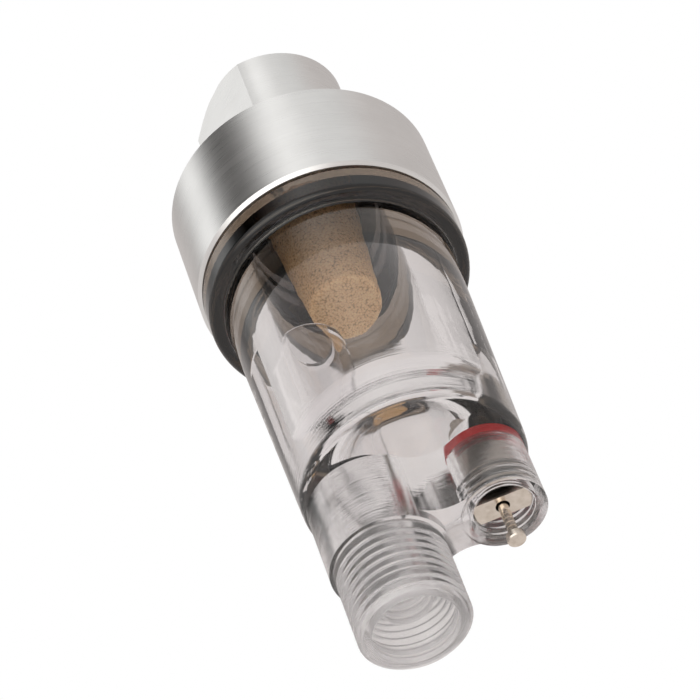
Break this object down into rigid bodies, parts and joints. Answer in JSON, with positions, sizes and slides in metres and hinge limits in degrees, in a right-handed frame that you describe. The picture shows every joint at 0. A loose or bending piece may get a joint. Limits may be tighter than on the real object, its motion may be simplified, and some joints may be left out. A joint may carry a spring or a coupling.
{
  "type": "compressed air filter",
  "caption": "In-line compressed air filter and moisture trap with a clear bowl, a sintered bronze element, a push-pin drain valve and pipe threads at both ends.",
  "frame": {"origin": "centre of the mouth of the female pipe thread in the head, on the main axis", "axes": "+Z along the main axis out of the female port; +X towards the drain valve, so the hose thread is at -X and points to -Z"},
  "size_m": [0.0244, 0.0244, 0.0692],
  "materials": {
    "aluminium": "satin turned",
    "clear_polycarbonate": "clear moulded",
    "sintered_bronze": "sintered grain",
    "nickel_plate": "bright nickel",
    "red_seal": "matt",
    "seal_rubber": "black, slightly glossy",
    "gasket_rubber": "black, matt",
    "black_nylon": "black, fine grain",
    "spring_steel": "drawn wire"
  },
  "bodies": {
    "head_assembly": {"head": "aluminium", "element_gasket": "gasket_rubber", "filter_element": "sintered_bronze", "element_retainer": "black_nylon"},
    "seal_ring": {"bowl_seal": "seal_rubber"},
    "bowl_assembly": {"bowl": "clear_polycarbonate", "valve_plug": "nickel_plate", "valve_barrel": "nickel_plate", "valve_seal_ring": "red_seal", "valve_spring": "spring_steel"},
    "drain_pin": {"valve_pin": "nickel_plate", "valve_cup": "nickel_plate", "valve_cup_seal": "gasket_rubber"}
  },
  "joints": [
    {"name": "bowl_unscrew", "type": "hinge", "parent": "head_assembly", "child": "seal_ring", "pos_m": [0, 0, -0.0255], "axis": [0, 0, 1], "range_deg": [0, 1800]},
    {"name": "bowl_drop", "type": "slide", "parent": "seal_ring", "child": "bowl_assembly", "axis": [0, 0, -1], "range_m": [0, 0.022]},
    {"name": "drain_pin_press", "type": "slide", "parent": "bowl_assembly", "child": "drain_pin", "axis": [0, 0, 1], "range_m": [0, 0.0018], "stiffness_N_per_m": 800, "springref_m": -0.001, "deforming": ["valve_spring"]}
  ]
}
